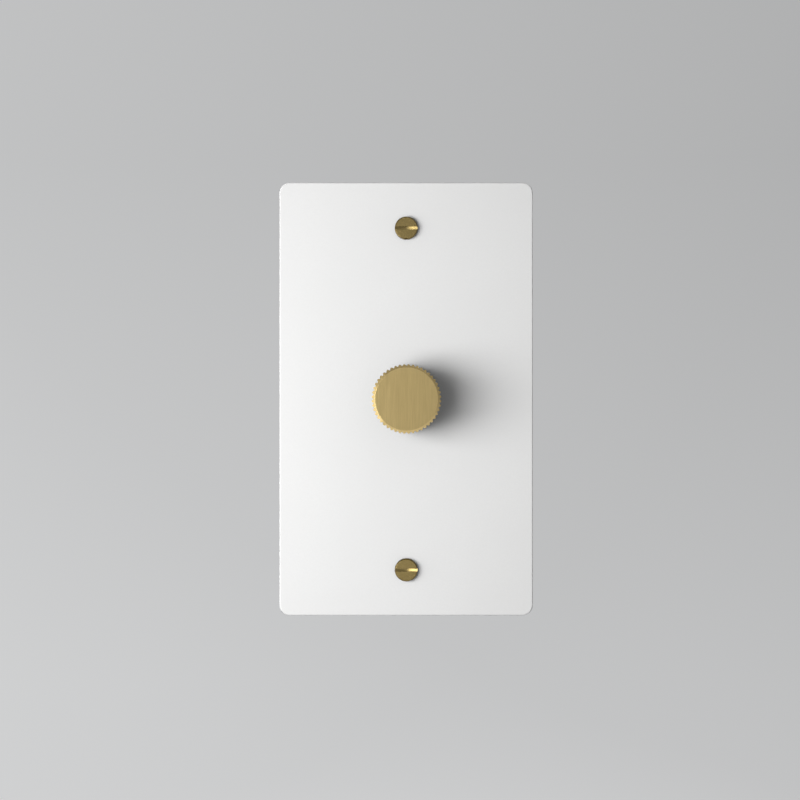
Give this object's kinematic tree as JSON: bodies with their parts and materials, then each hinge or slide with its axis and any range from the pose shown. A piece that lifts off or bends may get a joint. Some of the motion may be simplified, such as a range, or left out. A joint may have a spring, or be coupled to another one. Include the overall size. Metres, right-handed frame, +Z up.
{
  "type": "rotary dimmer switch",
  "caption": "Flat wall plate with a knurled knob that turns to dim and pushes to switch, carried by a boxed dimmer on a mounting strap behind it.",
  "frame": {"origin": "centre of the face plate's rear face, on the wall's surface", "axes": "+X right seen from the room, +Y into the wall along the knob's axis, +Z up"},
  "size_m": [0.072, 0.0501, 0.123],
  "materials": {
    "plate_coat": "fine matte powder coat",
    "knob_brass": "straight-brushed, lacquered",
    "screw_brass": "turned, slightly dulled",
    "shaft_steel": "ground",
    "bush_brass": "nickel plated",
    "zinc_steel": "bright zinc plate",
    "green_steel": "green dyed plate",
    "fibre": "pressed fibre",
    "housing_black": "fine moulded texture",
    "switch_grey": "moulded",
    "phenolic": "laminated sheet",
    "nylon": "moulded",
    "spring_copper": "rolled strip",
    "spring_steel": "drawn wire",
    "winding_copper": "enamelled wire",
    "ferrite": "painted core",
    "board_green": "solder mask",
    "capacitor_yellow": "moulded case",
    "capacitor_sleeve": "shrink sleeve",
    "chip_black": "moulded epoxy",
    "rivet_aluminium": "set rivet",
    "terminal_brass": "stamped strip"
  },
  "bodies": {
    "base": {"face_plate": "plate_coat", "plate_screws": "screw_brass", "pot_bush": "bush_brass", "mounting_strap": "zinc_steel", "box_screws": "zinc_steel", "housing_screws": "zinc_steel", "bush_nut": "zinc_steel", "bush_washer": "zinc_steel", "pot_can": "zinc_steel", "ground_screw": "green_steel", "screw_retainers": "fibre", "liner": "fibre", "housing": "housing_black", "switch_case": "switch_grey", "switch_base": "switch_grey", "track_wafer": "phenolic", "fixed_contacts": "spring_copper", "pot_pins": "spring_copper", "switch_spring": "spring_steel", "choke_winding": "winding_copper", "choke_core": "ferrite", "circuit_board": "board_green", "filter_capacitor": "capacitor_yellow", "supply_capacitor": "capacitor_sleeve", "controller_chip": "chip_black", "triac": "chip_black", "triac_rivet": "rivet_aluminium", "line_terminal": "terminal_brass", "load_terminal": "terminal_brass", "traveller_terminal": "terminal_brass", "neutral_terminal": "terminal_brass", "terminal_screws": "terminal_brass"},
    "plunger": {"switch_plunger": "nylon", "bridge_contact": "spring_copper"},
    "knob": {"knob": "knob_brass", "knob_set_screw": "shaft_steel", "shaft": "shaft_steel", "shaft_clip": "shaft_steel"},
    "rotor": {"rotor": "nylon", "wiper": "spring_copper"}
  },
  "joints": [
    {"name": "knob_push", "type": "slide", "parent": "base", "child": "plunger", "axis": [0, 1, 0], "range_m": [0, 0.0012], "stiffness_N_per_m": 1500, "springref_m": -0.002, "deforming": ["switch_spring"]},
    {"name": "knob_turn", "type": "hinge", "parent": "plunger", "child": "knob", "pos_m": [0, 0, 0], "axis": [0, 1, 0], "range_deg": [-150, 150]},
    {"name": "rotor_turn", "type": "hinge", "parent": "base", "child": "rotor", "pos_m": [0, 0, 0], "axis": [0, 1, 0], "range_deg": [-150, 150]}
  ],
  "couplings": [
    {"joint": "rotor_turn", "follows": "knob_turn", "ratio": 1}
  ]
}
